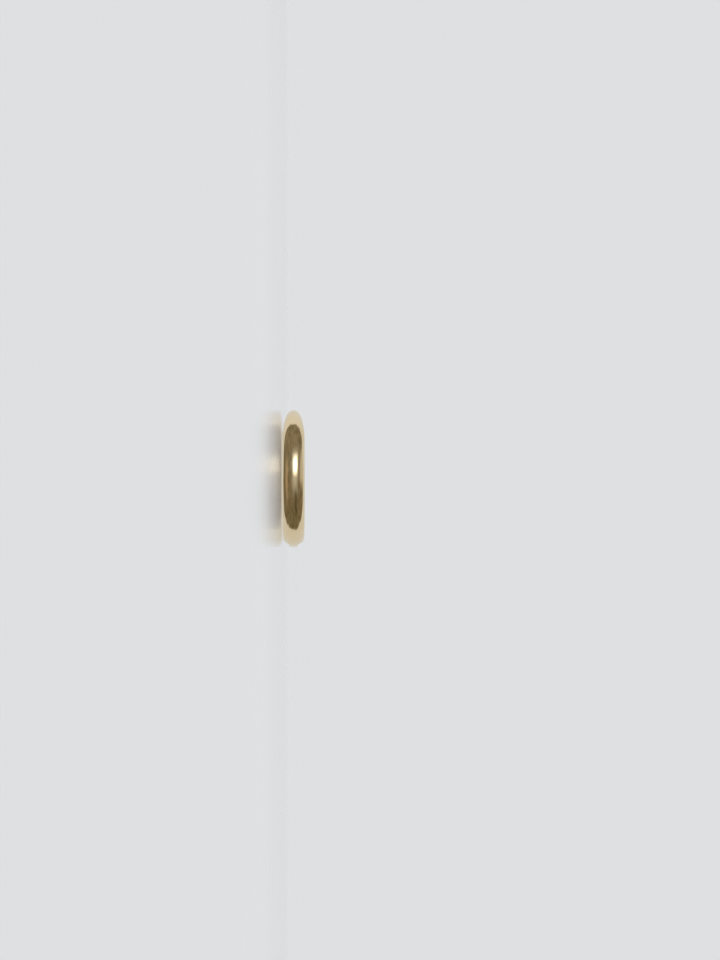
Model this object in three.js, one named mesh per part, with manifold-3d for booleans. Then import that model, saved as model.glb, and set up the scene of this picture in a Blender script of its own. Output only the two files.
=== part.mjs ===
// Huggie hoop earring, a small hinged hoop that hugs the ear lobe.
//
// Millimetres. The closed hoop lies on its side on the floor: its axis is +Z, its lower side face
// is at z = 0, and the origin is the hoop's centre on the floor. As worn, the front faces -Y, the
// ear is towards -X (12 o'clock) and the hinge is towards +X (6 o'clock).
//
// Angles are measured about the hoop's axis from +X towards +Y, so the back half of the hoop is
// on the side of +90 degrees, and the front half on the side of -90 degrees.

import * as THREE from 'three';
import { mergeVertices } from 'three/addons/utils/BufferGeometryUtils.js';
import Module from 'manifold-3d';

// Driving dimensions: the hoop.
const HOOP_OUTER_DIAMETER = 13.6;
const HOOP_WALL = 1.8;
const HOOP_WIDTH = 2.2;
const TOP_WIDTH = 1.6;
const TAPER_LENGTH = 5.4;
const CROWN_DEPTH = 0.8;
const INNER_BEVEL = 0.1;

// Driving dimensions: where the two arcs end above the ear lobe.
const FRONT_PAST_TOP = 0.45;
const EAR_GAP = 3.9;

// Driving dimensions: the hinge.
const HINGE_TURN_DEGREES = 2;
const TONGUE_WIDTH = 0.9;
const HINGE_CLEARANCE = 0.1;
const SHOULDER_DROP = 0.25;
const PIN_DIAMETER = 0.56;
const PIN_CLEARANCE = 0.06;

// Driving dimensions: the ear post.
const POST_DIAMETER = 0.7;
const POST_ROOT = 0.6;
const POST_IN_SLOT = 0.8;
const SLOT_CLEARANCE = 0.1;

// How finely round shapes are faceted.
const HOOP_SEGMENTS = 120;
const CROWN_SEGMENTS = 16;
const ROUND_SEGMENTS = 48;
const POST_SIDES = 24;
const POST_STEPS = 20;
const TIP_RINGS = 12;
const SAME_POINT = 1e-5;

// Worked out from the driving dimensions.
const TOP = Math.PI;
const OUTER_RADIUS = HOOP_OUTER_DIAMETER / 2;
const INNER_RADIUS = OUTER_RADIUS - HOOP_WALL;
const WALL_MIDDLE = (OUTER_RADIUS + INNER_RADIUS) / 2;
const WIDTH_MIDDLE = HOOP_WIDTH / 2;

// Cuts that go right through start under the hoop, end over it and reach beyond its outside.
const UNDER = -HOOP_WIDTH;
const OVER = 2 * HOOP_WIDTH;
const BEYOND = 2 * OUTER_RADIUS;

const HINGE_ANGLE = -THREE.MathUtils.degToRad(HINGE_TURN_DEGREES);
const HINGE_AXIS = onHoop(WALL_MIDDLE, HINGE_ANGLE);
const TONGUE_RADIUS = HOOP_WALL / 2;
const LUG_RADIUS = TONGUE_RADIUS - SHOULDER_DROP;

const FRONT_END = TOP - FRONT_PAST_TOP / WALL_MIDDLE;
const BACK_END = FRONT_END - EAR_GAP / WALL_MIDDLE;

const POST_RADIUS = POST_DIAMETER / 2;
const POST_FOOT = onHoop(INNER_RADIUS + POST_RADIUS, FRONT_END);
const POST_SWING = POST_FOOT.distanceTo(HINGE_AXIS);

const wasm = await Module();
wasm.setup();

function onHoop(radius, angle) {
  return new THREE.Vector2(radius * Math.cos(angle), radius * Math.sin(angle));
}

// A closed geometry as a solid that can be joined and cut.
function solid(geometry) {
  const bare = geometry.clone();
  for (const name of Object.keys(bare.attributes)) {
    if (name !== 'position') {
      bare.deleteAttribute(name);
    }
  }
  const merged = mergeVertices(bare, SAME_POINT);
  const vertProperties = new Float32Array(merged.attributes.position.array);
  const triVerts = new Uint32Array(merged.index.array);
  return new wasm.Manifold(new wasm.Mesh({ numProp: 3, vertProperties, triVerts }));
}

// The solid's faces as a geometry again.
function geometryOf(shape) {
  const mesh = shape.getMesh();
  const geometry = new THREE.BufferGeometry();
  geometry.setAttribute('position', new THREE.BufferAttribute(new Float32Array(mesh.vertProperties), 3));
  geometry.setIndex(new THREE.BufferAttribute(new Uint32Array(mesh.triVerts), 1));
  geometry.computeVertexNormals();
  return geometry;
}

// The share of the full width left at an angle: 1 round most of the hoop, easing to the narrower
// top along the taper on either side of it.
function widthShare(angle) {
  const fromTop = Math.abs(TOP - Math.abs(angle)) * WALL_MIDDLE;
  const eased = THREE.MathUtils.smoothstep(fromTop, 0, TAPER_LENGTH);
  return THREE.MathUtils.lerp(TOP_WIDTH / HOOP_WIDTH, 1, eased);
}

// Crown of the section, an elliptic arc from the upper side face over to the lower one.
function crownPoints(outerRadius) {
  const points = [];
  for (let i = 0; i <= CROWN_SEGMENTS; i += 1) {
    const turn = (Math.PI * i) / CROWN_SEGMENTS;
    const radius = outerRadius - CROWN_DEPTH + CROWN_DEPTH * Math.sin(turn);
    points.push(new THREE.Vector2(radius, WIDTH_MIDDLE * (1 + Math.cos(turn))));
  }
  return points;
}

// The whole ring before it is parted: flat inside with bevelled edges, flat side faces and a
// crowned outside, tapering towards the top.
function hoopForm() {
  const profile = [
    new THREE.Vector2(INNER_RADIUS, INNER_BEVEL),
    new THREE.Vector2(INNER_RADIUS, HOOP_WIDTH - INNER_BEVEL),
    new THREE.Vector2(INNER_RADIUS + INNER_BEVEL, HOOP_WIDTH),
    ...crownPoints(OUTER_RADIUS),
    new THREE.Vector2(INNER_RADIUS + INNER_BEVEL, 0),
    new THREE.Vector2(INNER_RADIUS, INNER_BEVEL),
  ].reverse();
  const ring = new THREE.LatheGeometry(profile, HOOP_SEGMENTS);
  ring.rotateX(Math.PI / 2);
  const position = ring.attributes.position;
  for (let i = 0; i < position.count; i += 1) {
    const share = widthShare(Math.atan2(position.getY(i), position.getX(i)));
    position.setZ(i, WIDTH_MIDDLE + (position.getZ(i) - WIDTH_MIDDLE) * share);
  }
  return solid(ring);
}

// A slice of cake from one angle round to another, tall enough to cut the whole hoop.
function sector(from, to) {
  const outline = new THREE.Shape();
  outline.moveTo(0, 0);
  outline.absarc(0, 0, BEYOND, from, to, false);
  outline.lineTo(0, 0);
  const slice = new THREE.ExtrudeGeometry(outline, {
    depth: OVER - UNDER,
    bevelEnabled: false,
    curveSegments: ROUND_SEGMENTS,
  });
  slice.translate(0, 0, UNDER);
  return solid(slice);
}

// A disc round the hinge's axis, between two heights.
function hingeDisc(radius, low, high) {
  const disc = new THREE.CylinderGeometry(radius, radius, high - low, ROUND_SEGMENTS);
  disc.rotateX(Math.PI / 2);
  disc.translate(HINGE_AXIS.x, HINGE_AXIS.y, (low + high) / 2);
  return solid(disc);
}

// A layer of the hinge, of the stated width about the middle of the hoop's width.
function middleDisc(radius, width) {
  return hingeDisc(radius, WIDTH_MIDDLE - width / 2, WIDTH_MIDDLE + width / 2);
}

// The two layers outside that width.
function sideDiscs(radius, width) {
  return hingeDisc(radius, UNDER, OVER).subtract(middleDisc(radius, width));
}

// What is filed off beside the tongue: outside a straight crowned shoulder across the hinge, that
// lies lower than the tongue by the shoulder's drop.
function filedOff(width) {
  const crown = crownPoints(OUTER_RADIUS - SHOULDER_DROP);
  const outline = new THREE.Shape();
  outline.moveTo(BEYOND, OVER);
  outline.lineTo(crown[0].x, OVER);
  for (const point of crown) {
    outline.lineTo(point.x, point.y);
  }
  outline.lineTo(crown[0].x, UNDER);
  outline.lineTo(BEYOND, UNDER);
  outline.lineTo(BEYOND, OVER);
  const bar = new THREE.ExtrudeGeometry(outline, { depth: BEYOND, bevelEnabled: false });
  bar.translate(0, 0, -BEYOND / 2);
  bar.rotateX(Math.PI / 2);
  bar.rotateZ(HINGE_ANGLE);
  const keep = new THREE.BoxGeometry(BEYOND, BEYOND * 2, width);
  keep.translate(OUTER_RADIUS, 0, WIDTH_MIDDLE);
  return solid(bar).subtract(solid(keep));
}

// The gap between the end faces of the two arcs at the hinge, on the back arc's side.
function endGap() {
  const slab = new THREE.BoxGeometry(BEYOND, HINGE_CLEARANCE * 2, OVER - UNDER);
  slab.translate(BEYOND / 2, 0, WIDTH_MIDDLE);
  slab.rotateZ(HINGE_ANGLE);
  return solid(slab);
}

// The round post, bent on an arc about the hinge's axis so that the slot swings over it. It has a
// hemispherical tip. The arc's angles are about the hinge's axis.
function postForm() {
  const foot = POST_FOOT.clone().sub(HINGE_AXIS).angle();
  const entry = slotEntry();
  const from = foot + POST_ROOT / POST_SWING;
  const to = entry - (POST_IN_SLOT - POST_RADIUS) / POST_SWING;
  const bend = new THREE.ArcCurve(HINGE_AXIS.x, HINGE_AXIS.y, POST_SWING, from, to, true);
  const path = new THREE.CatmullRomCurve3(
    bend.getPoints(POST_STEPS).map((p) => new THREE.Vector3(p.x, p.y, WIDTH_MIDDLE)),
  );
  const round = new THREE.Shape();
  round.absarc(0, 0, POST_RADIUS, 0, Math.PI * 2, false);
  const rod = new THREE.ExtrudeGeometry(round, {
    extrudePath: path,
    steps: POST_STEPS,
    curveSegments: POST_SIDES,
    bevelEnabled: false,
  });
  const tip = new THREE.SphereGeometry(POST_RADIUS, POST_SIDES, TIP_RINGS);
  const end = bend.getPoint(1);
  tip.rotateX(Math.PI / 2);
  tip.translate(end.x, end.y, WIDTH_MIDDLE);
  return solid(rod).add(solid(tip));
}

// Where the post's arc meets the back arc's end face, as an angle about the hinge's axis.
function slotEntry() {
  const along = HINGE_AXIS.length() * Math.cos(BACK_END - HINGE_ANGLE);
  const across = HINGE_AXIS.lengthSq() - POST_SWING ** 2;
  const radius = along + Math.sqrt(along ** 2 - across);
  return onHoop(radius, BACK_END).sub(HINGE_AXIS).angle();
}

// The slot that takes the post: concentric with the hinge's axis at its floor, open at the back
// arc's end face and on its outside.
function postSlot() {
  const entry = slotEntry();
  const floor = POST_SWING - POST_RADIUS - SLOT_CLEARANCE;
  const deepest = entry - (POST_IN_SLOT + SLOT_CLEARANCE) / POST_SWING;
  const mouth = entry + EAR_GAP / 2 / POST_SWING;
  const outline = new THREE.Shape();
  outline.absarc(HINGE_AXIS.x, HINGE_AXIS.y, floor, deepest, mouth, false);
  outline.absarc(HINGE_AXIS.x, HINGE_AXIS.y, floor + HOOP_WALL * 2, mouth, deepest, true);
  const width = POST_DIAMETER + SLOT_CLEARANCE * 2;
  const slot = new THREE.ExtrudeGeometry(outline, {
    depth: width,
    bevelEnabled: false,
    curveSegments: POST_STEPS,
  });
  slot.translate(0, 0, WIDTH_MIDDLE - width / 2);
  return solid(slot);
}

function frontArc(hoop, pinHole) {
  const slotWidth = TONGUE_WIDTH + HINGE_CLEARANCE * 2;
  const lugs = hoop.intersect(sideDiscs(LUG_RADIUS, slotWidth));
  return hoop
    .intersect(sector(FRONT_END, 2 * Math.PI + HINGE_ANGLE))
    .subtract(middleDisc(TONGUE_RADIUS + HINGE_CLEARANCE, slotWidth))
    .add(lugs)
    .subtract(filedOff(TONGUE_WIDTH))
    .subtract(pinHole)
    .add(postForm());
}

function backArc(hoop, pinHole) {
  const tongue = hoop.intersect(middleDisc(TONGUE_RADIUS, TONGUE_WIDTH));
  return hoop
    .intersect(sector(HINGE_ANGLE, BACK_END))
    .subtract(endGap())
    .subtract(sideDiscs(LUG_RADIUS + HINGE_CLEARANCE, TONGUE_WIDTH))
    .add(tongue)
    .subtract(filedOff(TONGUE_WIDTH))
    .subtract(pinHole)
    .subtract(postSlot());
}

// The pin's ends are ground flush with the lugs.
function hingePin(hoop) {
  const wire = hingeDisc(PIN_DIAMETER / 2, 0, HOOP_WIDTH);
  return wire.intersect(hoop.subtract(filedOff(TONGUE_WIDTH)));
}

const gold = { color: 0xd9b36a, metalness: 1, roughness: 0.12 };

function piece(name, shape) {
  const mesh = new THREE.Mesh(geometryOf(shape), new THREE.MeshStandardMaterial(gold));
  mesh.name = name;
  return mesh;
}

const hoop = hoopForm();
const pinHole = hingeDisc(PIN_DIAMETER / 2 + PIN_CLEARANCE, UNDER, OVER);

const earring = new THREE.Group();
earring.add(piece('front_arc', frontArc(hoop, pinHole)));
earring.add(piece('back_arc', backArc(hoop, pinHole)));
earring.add(piece('hinge_pin', hingePin(hoop)));

export default earring;
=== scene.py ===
import math

import bpy
import numpy as np
from mathutils import Matrix, Vector


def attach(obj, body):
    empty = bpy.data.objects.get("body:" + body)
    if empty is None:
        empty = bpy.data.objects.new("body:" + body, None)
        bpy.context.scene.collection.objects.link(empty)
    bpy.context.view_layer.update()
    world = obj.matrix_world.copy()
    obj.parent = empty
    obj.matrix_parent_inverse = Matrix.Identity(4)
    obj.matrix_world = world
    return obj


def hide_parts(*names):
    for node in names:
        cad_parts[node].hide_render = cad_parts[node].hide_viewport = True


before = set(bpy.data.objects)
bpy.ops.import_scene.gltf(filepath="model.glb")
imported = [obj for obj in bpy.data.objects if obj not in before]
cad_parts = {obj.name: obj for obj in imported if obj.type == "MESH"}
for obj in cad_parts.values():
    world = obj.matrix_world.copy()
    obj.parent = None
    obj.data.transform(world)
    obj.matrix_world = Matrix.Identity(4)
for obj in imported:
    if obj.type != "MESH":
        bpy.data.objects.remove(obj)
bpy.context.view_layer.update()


# Camera. It looks level at the front edge of the hoop from just above the floor, turned a quarter
# round, so that the hoop's width runs across the picture and the ear's side is up. Lengths here
# and below are in millimetres.
MM = 0.001
PHOTO_WIDTH = 720
PHOTO_HEIGHT = 960
HOOP_CENTRE_ACROSS = 293.5
HOOP_CENTRE_DOWN = 478.6
PIXELS_PER_MM = 10.15
CAMERA_DISTANCE = 250.0
CAMERA_HEIGHT = 1.5
CLIP_NEAR = 10.0
CLIP_FAR = 10000.0
SENSOR = 36.0
HOOP_WIDTH = 2.2

camera_data = bpy.data.cameras.new("camera")
camera_data.sensor_width = SENSOR
camera_data.lens = SENSOR * CAMERA_DISTANCE * PIXELS_PER_MM / PHOTO_HEIGHT
hoop_across = PHOTO_WIDTH / 2 + (HOOP_WIDTH / 2 - CAMERA_HEIGHT) * PIXELS_PER_MM
camera_data.shift_x = (hoop_across - HOOP_CENTRE_ACROSS) / PHOTO_HEIGHT
camera_data.shift_y = (HOOP_CENTRE_DOWN - PHOTO_HEIGHT / 2) / PHOTO_HEIGHT
camera_data.clip_start = CLIP_NEAR * MM
camera_data.clip_end = CLIP_FAR * MM
camera = bpy.data.objects.new("camera", camera_data)
camera.matrix_world = Matrix((
    (0, -1, 0, 0),
    (0, 0, -1, -CAMERA_DISTANCE * MM),
    (1, 0, 0, CAMERA_HEIGHT * MM),
    (0, 0, 0, 1),
))
bpy.context.scene.collection.objects.link(camera)
bpy.context.scene.camera = camera


# Front arc. The front half of the band, cast in gold-coloured alloy, crowned outside and flat
# inside, with the ear post soldered into its upper end and the two lugs of the hinge filed from
# its lower end, then polished all over.
OUTER_RADIUS = 6.8
WALL = 1.8
CROWN_DEPTH = 0.8
INNER_ROUND = 0.12
TOP_WIDTH = 1.6
TAPER_LENGTH = 5.4
END_ROUND = 0.09
CAP_BORDER = 0.04
INNER_RADIUS = OUTER_RADIUS - WALL
WALL_MIDDLE = (OUTER_RADIUS + INNER_RADIUS) / 2
HALF_WIDTH = HOOP_WIDTH / 2
FRONT_PAST_TOP = 0.45
EAR_GAP = 3.9
FRONT_END = math.pi - FRONT_PAST_TOP / WALL_MIDDLE
BACK_END = FRONT_END - EAR_GAP / WALL_MIDDLE

HINGE_ANGLE = math.radians(-2)
TONGUE_HALF = 0.45
SIDE_CLEARANCE = 0.1
SHOULDER_DROP = 0.25
TONGUE_RADIUS = WALL / 2
LUG_RADIUS = TONGUE_RADIUS - SHOULDER_DROP
HINGE_X = WALL_MIDDLE * math.cos(HINGE_ANGLE)
HINGE_Y = WALL_MIDDLE * math.sin(HINGE_ANGLE)
PIN_RADIUS = 0.28
PIN_CLEARANCE = 0.06
PAST_HINGE = 0.35

POST_RADIUS = 0.35
POST_ROOT = 0.6
SOLDER_ROUND = 0.13
SOLDER_SUNK = 0.02
ROOT_RADIUS = POST_RADIUS * 0.8
COLLAR_RADIUS = POST_RADIUS + SOLDER_ROUND * 0.9
ALMOST_QUARTER = 0.498 * math.pi
POST_IN_SLOT = 0.8
SLOT_CLEARANCE = 0.1

FLAT_POINTS = 12
CORNER_POINTS = 8
SIDE_POINTS = 6
CROWN_POINTS = 88
STATION_SPACING = 0.07
ROUND_STATIONS = 9
ARC_POINTS = 60
TONGUE_POINTS = 90
SLOT_POINTS = 40
BAR_POINTS = 40
HOLE_POINTS = 96
WIRE_POINTS = 64
WIRE_RINGS = 40
SWELL_RINGS = 10
TIP_RINGS = 20


def run(start, stop, count):
    """Evenly spaced values from start up to, but not on, stop."""
    return start + (stop - start) * np.arange(count) / count


def smooth(x, low, high):
    """0 below low, 1 above high, and 3t^2 - 2t^3 of the share t between them."""
    t = np.clip((x - low) / (high - low), 0, 1)
    return t * t * (3 - 2 * t)


def section(inset):
    """The closed outline of the band's section as radii and heights, drawn in by an inset.

    It runs up the flat inside, round its edge by a quarter circle, out along the upper side, over
    the crown, which is half an ellipse, and back the same way below. Every point is moved back
    along its own outward normal by the inset.
    """
    flat = run(-1, 1, FLAT_POINTS)
    corner = run(0, math.pi / 2, CORNER_POINTS)
    side = run(0, 1, SIDE_POINTS)
    over = run(0, math.pi, CROWN_POINTS)
    inner = HALF_WIDTH - INNER_ROUND
    shoulder = OUTER_RADIUS - CROWN_DEPTH
    start = INNER_RADIUS + INNER_ROUND
    steep, wide = np.sin(over) / CROWN_DEPTH, np.cos(over) / HALF_WIDTH
    length = np.hypot(steep, wide)
    rows = [
        (INNER_RADIUS + 0 * flat, inner * flat, 0 * flat - 1, 0 * flat),
        (start - INNER_ROUND * np.cos(corner), inner + INNER_ROUND * np.sin(corner),
         -np.cos(corner), np.sin(corner)),
        (start + (shoulder - start) * side, HALF_WIDTH + 0 * side, 0 * side, 0 * side + 1),
        (shoulder + CROWN_DEPTH * np.sin(over), HALF_WIDTH * np.cos(over),
         steep / length, wide / length),
        (shoulder + (start - shoulder) * side, 0 * side - HALF_WIDTH, 0 * side, 0 * side - 1),
        (start - INNER_ROUND * np.sin(corner), -inner - INNER_ROUND * np.cos(corner),
         -np.sin(corner), -np.cos(corner)),
    ]
    radius, height, out, up = np.concatenate(rows, axis=1)
    return radius - inset * out, height - inset * up


def grid_faces(rows, columns):
    """Quads of a grid that is closed across its columns, and one face over each of its ends."""
    row, column = np.meshgrid(np.arange(rows - 1), np.arange(columns), indexing="ij")
    beside = (column + 1) % columns
    corners = [row * columns + column, row * columns + beside,
               (row + 1) * columns + beside, (row + 1) * columns + column]
    quads = np.stack(corners, axis=-1).reshape(-1, 4)
    first = np.arange(columns)[::-1]
    last = np.arange(columns) + (rows - 1) * columns
    return [first.tolist(), *quads.tolist(), last.tolist()]


def solid(name, points, faces):
    """A mesh object from points in millimetres."""
    mesh = bpy.data.meshes.new(name)
    mesh.from_pydata(points.reshape(-1, 3).tolist(), [], faces)
    mesh.update()
    made = bpy.data.objects.new(name, mesh)
    bpy.context.scene.collection.objects.link(made)
    return made


def band(name, begin, end, round_begin, round_end):
    """The band between two angles about the hoop's axis.

    A point is (radius cos a, radius sin a, middle + height * share), where radius and height come
    from the section and share eases from the top's narrower width to 1 along the taper. Near a
    rounded end the angle follows the sine of a quarter turn while the section draws in by one
    minus its cosine, and the flat that is left is closed by one face. An end that isn't rounded
    is cut to shape later.
    """
    quarter = np.linspace(0, math.pi / 2, ROUND_STATIONS)
    advance = END_ROUND * (1 - np.sin(quarter)) / WALL_MIDDLE
    draw_in = END_ROUND * (1 - np.cos(quarter))
    stations, insets = [], []
    if round_begin:
        stations += [begin, *(begin + advance[::-1])]
        insets += [END_ROUND + CAP_BORDER, *draw_in[::-1]]
    else:
        stations += [begin]
        insets += [0]
    count = int((end - begin) * WALL_MIDDLE / STATION_SPACING)
    middle = np.linspace(stations[-1], end - (advance[0] if round_end else 0), count)
    stations += list(middle[1:-1])
    insets += [0] * (count - 2)
    if round_end:
        stations += [*(end - advance), end]
        insets += [*draw_in, END_ROUND + CAP_BORDER]
    else:
        stations += [end]
        insets += [0]
    outlines = np.array([section(inset) for inset in insets])
    angle = np.array(stations)[:, None]
    radius, height = outlines[:, 0], outlines[:, 1]
    from_top = np.abs(math.pi - np.mod(angle, 2 * math.pi)) * WALL_MIDDLE
    share = TOP_WIDTH / HOOP_WIDTH
    share = share + (1 - share) * smooth(from_top, 0, TAPER_LENGTH)
    points = np.stack([
        radius * np.cos(angle), radius * np.sin(angle), HALF_WIDTH + height * share,
    ], axis=-1)
    return solid(name, points, grid_faces(*points.shape[:2]))


def arc_points(radius, begin, end, centre=(0, 0), count=ARC_POINTS):
    """Points along an arc of a circle, both of its ends included."""
    turn = np.linspace(begin, end, count)
    return np.stack([centre[0] + radius * np.cos(turn), centre[1] + radius * np.sin(turn)], axis=-1)


def prism(name, outline, low, high):
    """An outline, which may run either way round, carried straight up, both ends closed."""
    outline = np.asarray(outline, dtype=float)
    x, y = outline.T
    if np.sum(x * np.roll(y, -1) - np.roll(x, -1) * y) < 0:
        outline = outline[::-1]
    rings = [np.column_stack([outline, np.full(len(outline), z)]) for z in (low, high)]
    return solid(name, np.array(rings), grid_faces(2, len(outline)))


def at_hinge(cutter):
    """Moves a cutter drawn about the pin, x outwards and y along the band, to the hinge."""
    turn = Matrix.Rotation(HINGE_ANGLE, 4, "Z")
    cutter.data.transform(Matrix.Translation((HINGE_X, HINGE_Y, HALF_WIDTH)) @ turn)
    return cutter


def combine(piece, other, operation):
    """Joins another closed solid to a piece, or cuts it away, and leaves the piece closed."""
    change = piece.modifiers.new(operation, "BOOLEAN")
    change.operation = operation
    change.solver = "MANIFOLD"
    change.object = other
    graph = bpy.context.evaluated_depsgraph_get()
    made = bpy.data.meshes.new_from_object(piece.evaluated_get(graph))
    piece.modifiers.clear()
    piece.data = made
    bpy.data.objects.remove(other)


def shoulder_bars():
    """What is filed off beside the tongue, on both arcs.

    Above and below the tongue, a straight bar lies across the hinge. Its underside is the band's
    own crown, lowered by the shoulder's drop.
    """
    turn = np.linspace(math.acos(TONGUE_HALF / HALF_WIDTH), 0, BAR_POINTS)
    foot = OUTER_RADIUS - SHOULDER_DROP - CROWN_DEPTH - WALL_MIDDLE
    crown = np.stack([foot + CROWN_DEPTH * np.sin(turn), HALF_WIDTH * np.cos(turn)], axis=-1)
    outline = [*crown, (foot, HOOP_WIDTH), (OUTER_RADIUS, HOOP_WIDTH), (OUTER_RADIUS, TONGUE_HALF)]
    bars = []
    for half_turn in (0, math.pi):
        bar = prism("bar", outline, -OUTER_RADIUS, OUTER_RADIUS)
        bar.data.transform(Matrix.Rotation(math.pi / 2 + half_turn, 4, "X"))
        bars.append(at_hinge(bar))
    return bars


def pin_hole():
    """The drilled hole for the pin, right through the hinge."""
    ring = arc_points(PIN_RADIUS + PIN_CLEARANCE, 0, 2 * math.pi, count=HOLE_POINTS + 1)[:-1]
    return at_hinge(prism("hole", ring, -HOOP_WIDTH, HOOP_WIDTH))


# The post lies on an arc about the pin, from its foot on the front arc's end face to where that
# arc crosses the end face of the back arc.
post_foot_x = (INNER_RADIUS + POST_RADIUS) * math.cos(FRONT_END) - HINGE_X
post_foot_y = (INNER_RADIUS + POST_RADIUS) * math.sin(FRONT_END) - HINGE_Y
post_swing = math.hypot(post_foot_x, post_foot_y)
post_foot = math.atan2(post_foot_y, post_foot_x)
toward_slot = WALL_MIDDLE * math.cos(BACK_END - HINGE_ANGLE)
entry_radius = toward_slot + math.sqrt(toward_slot ** 2 - WALL_MIDDLE ** 2 + post_swing ** 2)
slot_entry = math.atan2(
    entry_radius * math.sin(BACK_END) - HINGE_Y, entry_radius * math.cos(BACK_END) - HINGE_X)


def post():
    """The ear post, a round wire bent on an arc about the pin, with a little solder at its root.

    Along the arc the wire's radius is constant. It widens by a quarter circle to a collar of
    solder at the end face of the band, and closes by a quarter circle to the tip. Inside the band
    it goes on thinner, so that the two make one solid.
    """
    swell = np.linspace(0, math.pi / 2, SWELL_RINGS)
    tip = np.linspace(0, ALMOST_QUARTER, TIP_RINGS)
    reach = post_swing * (post_foot - slot_entry) + POST_IN_SLOT - POST_RADIUS
    wire = np.linspace(SOLDER_ROUND, reach, WIRE_RINGS)[1:-1]
    along = [-POST_ROOT, -2 * SOLDER_SUNK, -SOLDER_SUNK, *(SOLDER_ROUND * (1 - np.cos(swell))),
             *wire, *(reach + POST_RADIUS * np.sin(tip))]
    thick = [ROOT_RADIUS, ROOT_RADIUS, COLLAR_RADIUS,
             *(POST_RADIUS + SOLDER_ROUND * (1 - np.sin(swell))),
             *np.full(len(wire), POST_RADIUS), *(POST_RADIUS * np.cos(tip))]
    turn = (post_foot - np.array(along) / post_swing)[:, None]
    thick = np.array(thick)[:, None]
    around = run(0, 2 * math.pi, WIRE_POINTS)[None, :]
    swing = post_swing + thick * np.cos(around)
    points = np.stack([
        HINGE_X + swing * np.cos(turn), HINGE_Y + swing * np.sin(turn),
        HALF_WIDTH + thick * np.sin(around) + 0 * turn,
    ], axis=-1)
    return solid("post", points, grid_faces(*points.shape[:2]))


front_arc = band("front_arc_polished", FRONT_END, 2 * math.pi + HINGE_ANGLE + PAST_HINGE, True, False)
far = 3 * WALL
lug_rounding = [*arc_points(LUG_RADIUS, math.pi, 0), (far, 0), (far, far), (-far, far), (-far, 0)]
combine(front_arc, at_hinge(prism("beyond", lug_rounding, -HOOP_WIDTH, HOOP_WIDTH)), "DIFFERENCE")
fork = [*arc_points(TONGUE_RADIUS + SIDE_CLEARANCE, 0, -math.pi),
        (-far, 0), (-far, far), (far, far), (far, 0)]
fork_half = TONGUE_HALF + SIDE_CLEARANCE
combine(front_arc, at_hinge(prism("fork", fork, -fork_half, fork_half)), "DIFFERENCE")
for cutter in shoulder_bars():
    combine(front_arc, cutter, "DIFFERENCE")
combine(front_arc, pin_hole(), "DIFFERENCE")
combine(front_arc, post(), "UNION")


class Field:
    """A socket of a node tree. Arithmetic on it adds Math nodes, and node adds any other node."""

    def __init__(self, tree, socket=None):
        self.tree = tree
        self.socket = socket

    def node(self, kind, settings, sockets, output=0):
        """A node of a type, with its settings set before the values or links of its sockets."""
        made = self.tree.nodes.new(kind)
        for name, value in settings.items():
            setattr(made, name, value)
        for name, value in sockets.items():
            if isinstance(value, Field):
                self.tree.links.new(value.socket, made.inputs[name])
            else:
                made.inputs[name].default_value = value
        return Field(self.tree, made.outputs[output])

    def arithmetic(self, operation, *values):
        """A Math node."""
        return self.node("ShaderNodeMath", {"operation": operation}, dict(enumerate(values)))

    def __add__(self, other):
        return self.arithmetic("ADD", self, other)

    def __radd__(self, other):
        return self.arithmetic("ADD", other, self)

    def __sub__(self, other):
        return self.arithmetic("SUBTRACT", self, other)

    def __rsub__(self, other):
        return self.arithmetic("SUBTRACT", other, self)

    def __mul__(self, other):
        return self.arithmetic("MULTIPLY", self, other)

    def __rmul__(self, other):
        return self.arithmetic("MULTIPLY", other, self)

    def __pow__(self, other):
        return self.arithmetic("POWER", self, other)

    def __abs__(self):
        return self.arithmetic("ABSOLUTE", self)

    def within(self, low, high):
        """0 where the value is at low, 1 where it is at high, eased between them."""
        return self.node(
            "ShaderNodeMapRange", {"interpolation_type": "SMOOTHSTEP"},
            {"Value": self, "From Min": low, "From Max": high})

    def parts(self):
        """The three numbers of a vector."""
        return [self.node("ShaderNodeSeparateXYZ", {}, {0: self}, output) for output in range(3)]

    def vector(self, x, y, z):
        """A vector of three numbers."""
        return self.node("ShaderNodeCombineXYZ", {}, {0: x, 1: y, 2: z})

    def scaled(self, factors):
        """A vector whose three numbers are each multiplied by a factor of their own."""
        return self.node(
            "ShaderNodeVectorMath", {"operation": "MULTIPLY"}, {0: self, 1: factors})

    def noise(self, scale, detail):
        """Noise over a place, in so many swells a unit and with so many finer layers."""
        return self.node("ShaderNodeTexNoise", {}, {"Vector": self, "Scale": scale, "Detail": detail})

    def blend(self, share, colour, other):
        """One colour going over to another as a share goes from 0 to 1."""
        return self.node(
            "ShaderNodeMix", {"data_type": "RGBA"}, {0: share, 6: colour, 7: other}, 2)


GOLD_PALE = (0.87, 0.70, 0.44, 1)
GOLD_DEEP = (0.82, 0.63, 0.36, 1)
# The dark colour in the joint about the pin: grime, and painted shade of the joint.
GOLD_GRIME_AND_SHADE = (0.42, 0.28, 0.13, 1)
GRIME_AND_SHADE_SHARE = 0.3
COAT_IOR = 1.8
COAT_ROUGHNESS = 0.06
EDGE_BREAK = 0.035
EDGE_SAMPLES = 6

POLISH = 0.085
LINE_ROUGHNESS = 0.05
HAIR_ROUGHNESS = 0.05
SATIN_ROUGHNESS = 0.12
FILM_ROUGHNESS = 0.06
LINE_HEIGHT = 0.00012
SATIN_HEIGHT = 0.0004
HAND_WORK_HEIGHT = 0.011

LINE_NOISE = (55.0, 3.0)
PATCH_NOISE = (0.9, 2.0)
HAIR_NOISE = (2.2, 1.0)
HAIR_SHAPE = (1.0, 14.0, 5.0)
GRIME_AND_SHADE_NOISE = (5.0, 5.0)
TONE_NOISE = (0.35, 2.0)
SATIN_NOISE = (30.0, 2.0)
HAND_WORK_NOISE = (0.8, 1.5)


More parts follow.
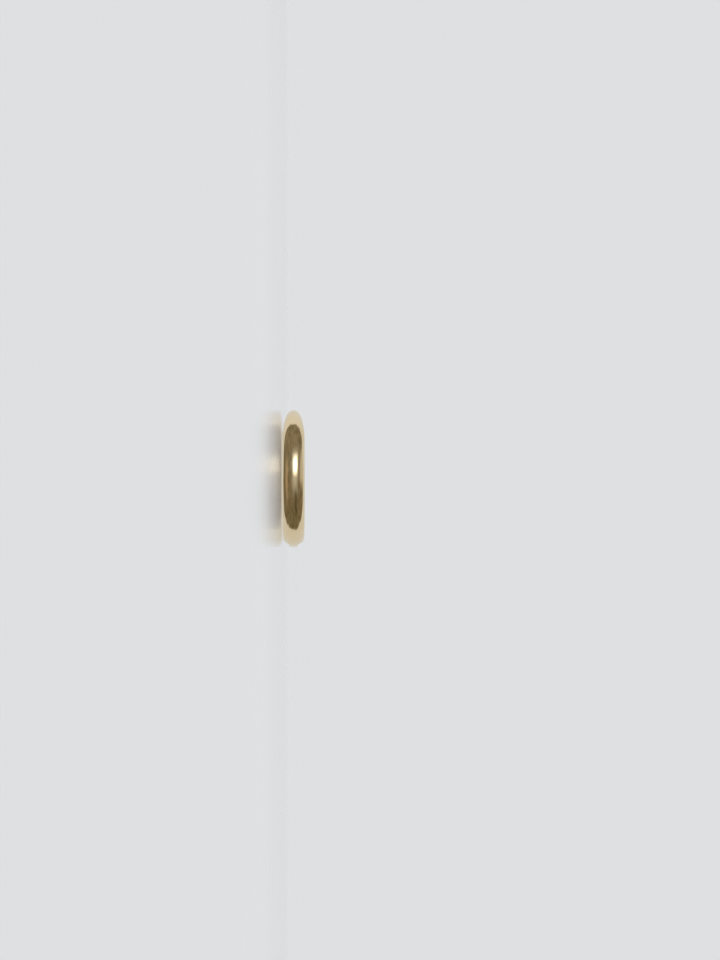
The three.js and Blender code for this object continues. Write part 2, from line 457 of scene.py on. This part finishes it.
def polished_gold(name, lines_about):
    """Gold-coloured alloy after polishing, on Object coordinates turned to millimetres.

    Fine polishing lines run round an axis, as noise that depends only on the distance from it and
    on the height. They come and go with a slower noise. The inside is left more satin, a film of
    grime roughens the joint about the pin and darkens its colour there, a darkening that is painted
    shade of the joint as well as grime, and a slow swell is what hand work leaves of the true shape.
    Cut edges catch the light over a narrow width, as edges do that are broken by polishing.
    """
    material = bpy.data.materials.new(name)
    material.use_nodes = True
    shader = material.node_tree.nodes["Principled BSDF"]
    nodes = Field(material.node_tree)
    place = nodes.node("ShaderNodeTexCoord", {}, {}, "Object").scaled((1 / MM, 1 / MM, 1 / MM))
    x, y, z = place.parts()
    radius = (x * x + y * y) ** 0.5
    pin_x = x - HINGE_X
    pin_y = y - HINGE_Y
    from_pin = (pin_x * pin_x + pin_y * pin_y) ** 0.5
    about = radius if lines_about == "hoop" else from_pin

    patches = place.noise(*PATCH_NOISE).within(0.42, 0.66)
    lines = nodes.vector(about, z, 0.0).noise(*LINE_NOISE) * patches
    hairs = place.scaled(HAIR_SHAPE).noise(*HAIR_NOISE).within(0.66, 0.71)
    inside = 1 - radius.within(INNER_RADIUS + 0.02, INNER_RADIUS + 0.16)
    joint = 1 - from_pin.within(TONGUE_RADIUS * 0.85, TONGUE_RADIUS + 0.35)
    grime_and_shade = place.noise(*GRIME_AND_SHADE_NOISE).within(0.35, 0.75) * joint
    roughness = (POLISH + lines * LINE_ROUGHNESS + hairs * HAIR_ROUGHNESS
                 + inside * SATIN_ROUGHNESS + grime_and_shade * FILM_ROUGHNESS)

    tone = place.noise(*TONE_NOISE).within(0.3, 0.7)
    colour = nodes.blend(tone, GOLD_PALE, GOLD_DEEP)
    # Near the pin the colour goes over to a dark colour: painted shade of the joint, along with grime.
    colour = nodes.blend(grime_and_shade * GRIME_AND_SHADE_SHARE, colour, GOLD_GRIME_AND_SHADE)
    height = (lines * LINE_HEIGHT + place.noise(*HAND_WORK_NOISE) * HAND_WORK_HEIGHT
              + place.noise(*SATIN_NOISE) * inside * SATIN_HEIGHT)
    eased = nodes.node("ShaderNodeBevel", {"samples": EDGE_SAMPLES}, {"Radius": EDGE_BREAK * MM})
    bump = nodes.node("ShaderNodeBump", {}, {
        "Strength": 1.0, "Distance": MM, "Height": height, "Normal": eased})
    shader.inputs["Metallic"].default_value = 1
    shader.inputs["Coat Weight"].default_value = 1
    shader.inputs["Coat IOR"].default_value = COAT_IOR
    shader.inputs["Coat Roughness"].default_value = COAT_ROUGHNESS
    material.node_tree.links.new(colour.socket, shader.inputs["Base Color"])
    material.node_tree.links.new(roughness.socket, shader.inputs["Roughness"])
    material.node_tree.links.new(bump.socket, shader.inputs["Normal"])
    return material


SHARP_FROM = math.radians(30)
band_gold = polished_gold("polished_gold", "hoop")


def put_on(piece, material, body, node):
    """Turns a piece's millimetres to metres, gives it its metal and puts it on its body."""
    piece.data.transform(Matrix.Scale(MM, 4))
    piece.data.shade_smooth()
    piece.data.set_sharp_from_angle(angle=SHARP_FROM)
    piece.data.materials.clear()
    piece.data.materials.append(material)
    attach(piece, body)
    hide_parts(node)


put_on(front_arc, band_gold, "front", "front_arc")


# Back arc. The back half of the band, cast in the same alloy and polished with it. Its lower end
# is filed to the tongue that turns between the lugs, and its upper end is slotted for the post.
back_arc = band("back_arc_polished", HINGE_ANGLE - PAST_HINGE, BACK_END, False, True)
tongue_rounding = [*arc_points(TONGUE_RADIUS, 0, -math.pi, count=TONGUE_POINTS),
                   (-far, 0), (-far, -far), (far, -far), (far, 0)]
combine(back_arc, at_hinge(prism("beyond", tongue_rounding, -HOOP_WIDTH, HOOP_WIDTH)), "DIFFERENCE")
socket_radius = LUG_RADIUS + SIDE_CLEARANCE
socket_begin = math.asin(SIDE_CLEARANCE / socket_radius)
lug_socket = [*arc_points(socket_radius, socket_begin, math.pi - socket_begin),
              (-far, SIDE_CLEARANCE), (-far, -far), (far, -far), (far, SIDE_CLEARANCE)]
for low, high in ((TONGUE_HALF, HOOP_WIDTH), (-HOOP_WIDTH, -TONGUE_HALF)):
    combine(back_arc, at_hinge(prism("beside", lug_socket, low, high)), "DIFFERENCE")
for cutter in shoulder_bars():
    combine(back_arc, cutter, "DIFFERENCE")
combine(back_arc, pin_hole(), "DIFFERENCE")

SLOT_PAST_MOUTH = 2.0
slot_floor = post_swing - POST_RADIUS - SLOT_CLEARANCE
slot_deepest = slot_entry - (POST_IN_SLOT + SLOT_CLEARANCE) / post_swing
slot_mouth = slot_entry + SLOT_PAST_MOUTH / post_swing
slot_low = HALF_WIDTH - POST_RADIUS - SLOT_CLEARANCE
inner, outer = (
    arc_points(radius, slot_deepest, slot_mouth, (HINGE_X, HINGE_Y), SLOT_POINTS)
    for radius in (slot_floor, slot_floor + 2 * WALL))
combine(back_arc, prism("slot", [*inner[::-1], *outer], slot_low, HOOP_WIDTH - slot_low), "DIFFERENCE")
put_on(back_arc, band_gold, "back", "back_arc")


# Hinge pin. A short drawn wire of the same alloy, pushed through the lugs and the tongue, with
# both ends ground flush with the filed shoulders and polished with them.
PIN_EDGE = 0.02
PIN_POINTS = 72
PIN_FACE_RINGS = [0.004, 0.1, 0.2]
PIN_EDGE_RINGS = 6


def pin():
    """The pin, rings of points about its axis from the middle of its foot to that of its head.

    An end's height above the middle is half the band's width where the side is flat, and follows
    the lowered crown's ellipse outwards of that. Its rim drops by a small quarter circle.
    """
    around = run(0, 2 * math.pi, PIN_POINTS)[None, :]
    quarter = np.linspace(0, math.pi / 2, PIN_EDGE_RINGS)
    flat = np.zeros(len(PIN_FACE_RINGS))
    ring = np.array([*PIN_FACE_RINGS, *(PIN_RADIUS - PIN_EDGE * (1 - np.sin(quarter)))])[:, None]
    drop = np.array([*flat, *(PIN_EDGE * (1 - np.cos(quarter)))])[:, None]
    x = ring * np.cos(around)
    y = ring * np.sin(around)
    crown = (WALL_MIDDLE + x - (OUTER_RADIUS - SHOULDER_DROP - CROWN_DEPTH)) / CROWN_DEPTH
    top = HALF_WIDTH * np.sqrt(1 - np.clip(crown, 0, 1) ** 2) - drop
    upper = np.stack([x, y, top], axis=-1)
    lower = np.stack([x, y, -top], axis=-1)[::-1]
    points = np.concatenate([upper, lower])[::-1]
    return at_hinge(solid("hinge_pin_polished", points, grid_faces(*points.shape[:2])))


hinge_pin = pin()
put_on(hinge_pin, polished_gold("polished_pin", "pin"), "front", "hinge_pin")


# Floor and light. A pale satin floor, a soft light from above, and round them the studio that the
# gold mirrors: a pale wall behind, a dim room in front and one softly lit window in it. Lengths
# here are in metres.
FLOOR_HALF = 20.0
FLOOR_COLOUR = (0.775, 0.78, 0.79, 1)
FLOOR_ROUGHNESS = 0.9
SHEEN_ROUGHNESS = 0.082
SHEEN_STEEPNESS = 30.0
SHEEN_FADES = (0.10, 0.20)

floor_mesh = bpy.data.meshes.new("floor")
floor_mesh.from_pydata(
    [(-FLOOR_HALF, -FLOOR_HALF, 0), (FLOOR_HALF, -FLOOR_HALF, 0),
     (FLOOR_HALF, FLOOR_HALF, 0), (-FLOOR_HALF, FLOOR_HALF, 0)], [], [(0, 1, 2, 3)])
floor = bpy.data.objects.new("floor", floor_mesh)
bpy.context.scene.collection.objects.link(floor)
floor.visible_glossy = False
paint = bpy.data.materials.new("pale_floor")
paint.use_nodes = True
matte_shader = paint.node_tree.nodes["Principled BSDF"]
matte_shader.inputs["Base Color"].default_value = FLOOR_COLOUR
matte_shader.inputs["Roughness"].default_value = FLOOR_ROUGHNESS
matte_shader.inputs["Specular IOR Level"].default_value = 0
nodes = Field(paint.node_tree)
across, along, _ = nodes.node("ShaderNodeTexCoord", {}, {}, "Object").parts()
near = 1 - ((across * across + along * along) ** 0.5).within(*SHEEN_FADES)
facing = nodes.node("ShaderNodeLayerWeight", {}, {"Blend": 0.5}, "Facing")
sheen = nodes.node("ShaderNodeBsdfGlossy", {"distribution": "MULTI_GGX"}, {
    "Color": (1, 1, 1, 1), "Roughness": SHEEN_ROUGHNESS})
mixed = nodes.node("ShaderNodeMixShader", {}, {
    0: facing ** SHEEN_STEEPNESS * near, 1: Field(paint.node_tree, matte_shader.outputs[0]), 2: sheen})
paint_output = paint.node_tree.nodes["Material Output"]
paint.node_tree.links.new(mixed.socket, paint_output.inputs["Surface"])
floor_mesh.materials.append(paint)

# What lies round the hoop depends on the direction alone: ahead is +Y, above is +Z, and the ear's
# side is -X. Each thing there is one colour, with a share between 0 and 1 that eases at its sides.
WALL_LOW = (0.69, 0.71, 0.70, 1)
WALL_HIGH = (0.77, 0.77, 0.75, 1)
WALL_AHEAD = (0.795, 0.803, 0.818, 1)
ROOM_LOW = (0.205, 0.175, 0.117, 1)
ROOM_HIGH = (0.27, 0.24, 0.18, 1)
ROOM_DIM = (0.16, 0.14, 0.075, 1)
CLUTTER = (0.06, 0.045, 0.022, 1)
TABLE = (0.74, 0.58, 0.40, 1)
CEILING = (0.66, 0.64, 0.58, 1)
CURTAIN = (0.66, 0.68, 0.66, 1)
STAND = (0.05, 0.04, 0.02, 1)
WINDOW = (2.8, 2.8, 2.75, 1)
FILL_LIGHT = (0.61, 0.62, 0.625, 1)
BACKDROP = (0.732, 0.744, 0.754, 1)
KEY_FROM = (-0.22, -0.12, 0.55)
KEY_ANGLE = math.radians(32)
KEY_STRENGTH = 1.09

world = bpy.data.worlds.new("studio")
world.use_nodes = True
bpy.context.scene.world = world
tree = world.node_tree
nodes = Field(tree)
direction = nodes.node("ShaderNodeTexCoord", {}, {}, "Generated")
right, ahead, above = direction.parts()
ear_side = 0 - right
warp = direction.noise(2.6, 2.0) - 0.5
aside = above + warp * 0.3
front = 1 - ahead.within(-0.62, -0.25)

room = nodes.blend(ear_side.within(-0.8, 0.7), ROOM_LOW, ROOM_HIGH)
dim = direction.noise(1.6, 1.0).within(0.45, 0.6)
room = nodes.blend(dim * 0.45, room, ROOM_DIM)
clutter = direction.noise(6.0, 4.0).within(0.45, 0.62)
room = nodes.blend(clutter * 0.4, room, CLUTTER)
table = (1 - above.within(-0.95, -0.55)) * front * (1 - ear_side.within(0.35, 0.7))
room = nodes.blend(table * 0.6, room, TABLE)
ceiling = above.within(0.72, 0.90) * ear_side.within(-0.25, 0.05) * (1 - ear_side.within(0.35, 0.7))
room = nodes.blend(ceiling * 0.75, room, CEILING)
curtain = front * ear_side.within(-0.62, 0.05) * (1 - ear_side.within(0.45, 0.9))
curtain = curtain * (1 - abs(aside - 0.2).within(0.05, 0.62))
room = nodes.blend(curtain * 0.8, room, CURTAIN)
stand = 1 - abs(aside - 0.3).within(0.03, 0.13)
stand = stand * (1 - ear_side.within(-0.45, -0.25)) * ear_side.within(-0.95, -0.8)
room = nodes.blend(stand * 0.6, room, STAND)
window = front * ear_side.within(0.02, 0.30) * (1 - ear_side.within(0.42, 0.72))
window = window * (1 - abs(above - 0.22).within(0.08, 0.38))
room = nodes.blend(window, room, WINDOW)

wall = nodes.blend(ear_side.within(0.3, 0.9), WALL_LOW, WALL_HIGH)
wall = nodes.blend(ahead.within(0.90, 0.995), wall, WALL_AHEAD)
wall_from = warp * 0.28 + 0.235 - right.within(0.25, 0.95) * 0.165 - above.within(0.75, 0.98) * 0.16
mirrored = nodes.blend((ahead - wall_from).within(-0.04, 0.04), room, wall)
to_matte = nodes.node("ShaderNodeLightPath", {}, {}, "Is Diffuse Ray")
to_camera = nodes.node("ShaderNodeLightPath", {}, {}, "Is Camera Ray")
seen = nodes.blend(to_camera, nodes.blend(to_matte, mirrored, FILL_LIGHT), BACKDROP)
tree.links.new(seen.socket, tree.nodes["Background"].inputs["Color"])

key_data = bpy.data.lights.new("key", "SUN")
key_data.angle = KEY_ANGLE
key_data.energy = KEY_STRENGTH
key = bpy.data.objects.new("key", key_data)
away = Vector(KEY_FROM)
key.matrix_world = Matrix.Translation(away) @ away.to_track_quat("Z", "Y").to_matrix().to_4x4()
key.visible_glossy = False
bpy.context.scene.collection.objects.link(key)
bpy.context.scene.view_settings.view_transform = "Standard"
